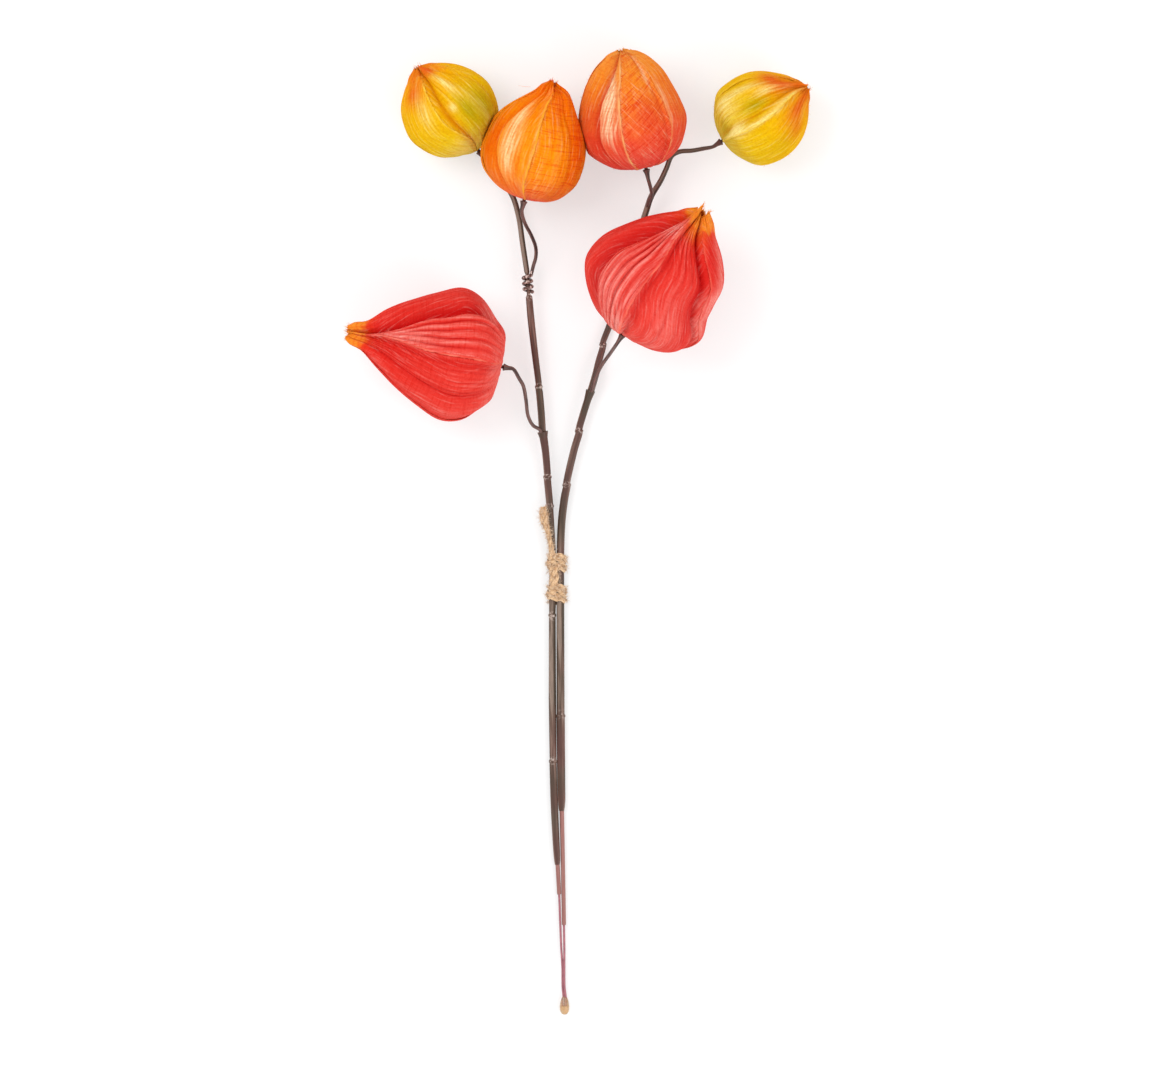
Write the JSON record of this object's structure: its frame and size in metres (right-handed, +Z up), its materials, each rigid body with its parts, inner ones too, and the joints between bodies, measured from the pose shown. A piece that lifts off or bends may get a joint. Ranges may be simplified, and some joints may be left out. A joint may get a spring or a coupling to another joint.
{
  "type": "chinese lantern stem",
  "caption": "Bunch of artificial chinese lanterns with fabric pods on two plastic-sleeved wire stems, tied side by side with jute twine, lying flat.",
  "frame": {"origin": "on the table under the middle of the bunch's bounding box", "axes": "+Y along the bunch, from the glued wire ends towards the lanterns; +X to the right seen from above; +Z up off the table it lies on"},
  "size_m": [0.2414, 0.5034, 0.0755],
  "materials": {
    "sleeve_plastic": "brown-purple flexible plastic sleeve with moulded rings, slightly waxy",
    "twig_plastic": "thin brown-purple plastic-coated wire twig, satin",
    "core_wire": "dull pinkish coated wire",
    "wire_jacket": "thin pinkish plastic jacket on the wire",
    "red_fabric": "stiffened pleated woven fabric, red with orange tip",
    "orange_fabric": "stiffened pleated woven fabric, orange with coral base",
    "coral_fabric": "stiffened pleated woven fabric, coral shading to amber at the tip",
    "yellow_fabric": "stiffened pleated woven fabric, golden yellow with orange tip patches",
    "glue": "pale amber hot glue, translucent and slightly glossy",
    "jute": "fuzzy pale jute twine"
  },
  "bodies": {
    "root": {"left_stem_lower": "sleeve_plastic", "left_stem_upper": "sleeve_plastic", "right_stem_lower": "sleeve_plastic", "right_stem_upper": "sleeve_plastic", "red_left_twig": "twig_plastic", "red_right_twig": "twig_plastic", "coral_twig": "twig_plastic", "orange_twig": "twig_plastic", "left_core_wire": "core_wire", "right_core_wire": "core_wire", "left_wire_jacket": "wire_jacket", "right_wire_jacket": "wire_jacket", "red_left_petal_1": "red_fabric", "red_left_petal_2": "red_fabric", "red_left_petal_3": "red_fabric", "red_left_petal_4": "red_fabric", "red_left_petal_5": "red_fabric", "red_left_glue_bead": "glue", "red_right_petal_1": "red_fabric", "red_right_petal_2": "red_fabric", "red_right_petal_3": "red_fabric", "red_right_petal_4": "red_fabric", "red_right_petal_5": "red_fabric", "red_right_glue_bead": "glue", "orange_petal_1": "orange_fabric", "orange_petal_2": "orange_fabric", "orange_petal_3": "orange_fabric", "orange_petal_4": "orange_fabric", "orange_petal_5": "orange_fabric", "orange_glue_bead": "glue", "coral_petal_1": "coral_fabric", "coral_petal_2": "coral_fabric", "coral_petal_3": "coral_fabric", "coral_petal_4": "coral_fabric", "coral_petal_5": "coral_fabric", "coral_glue_bead": "glue", "yellow_left_petal_1": "yellow_fabric", "yellow_left_petal_2": "yellow_fabric", "yellow_left_petal_3": "yellow_fabric", "yellow_left_petal_4": "yellow_fabric", "yellow_left_petal_5": "yellow_fabric", "yellow_left_glue_bead": "glue", "yellow_right_petal_1": "yellow_fabric", "yellow_right_petal_2": "yellow_fabric", "yellow_right_petal_3": "yellow_fabric", "yellow_right_petal_4": "yellow_fabric", "yellow_right_petal_5": "yellow_fabric", "yellow_right_glue_bead": "glue", "glue_drop": "glue", "jute_twine": "jute"}
  },
  "joints": []
}
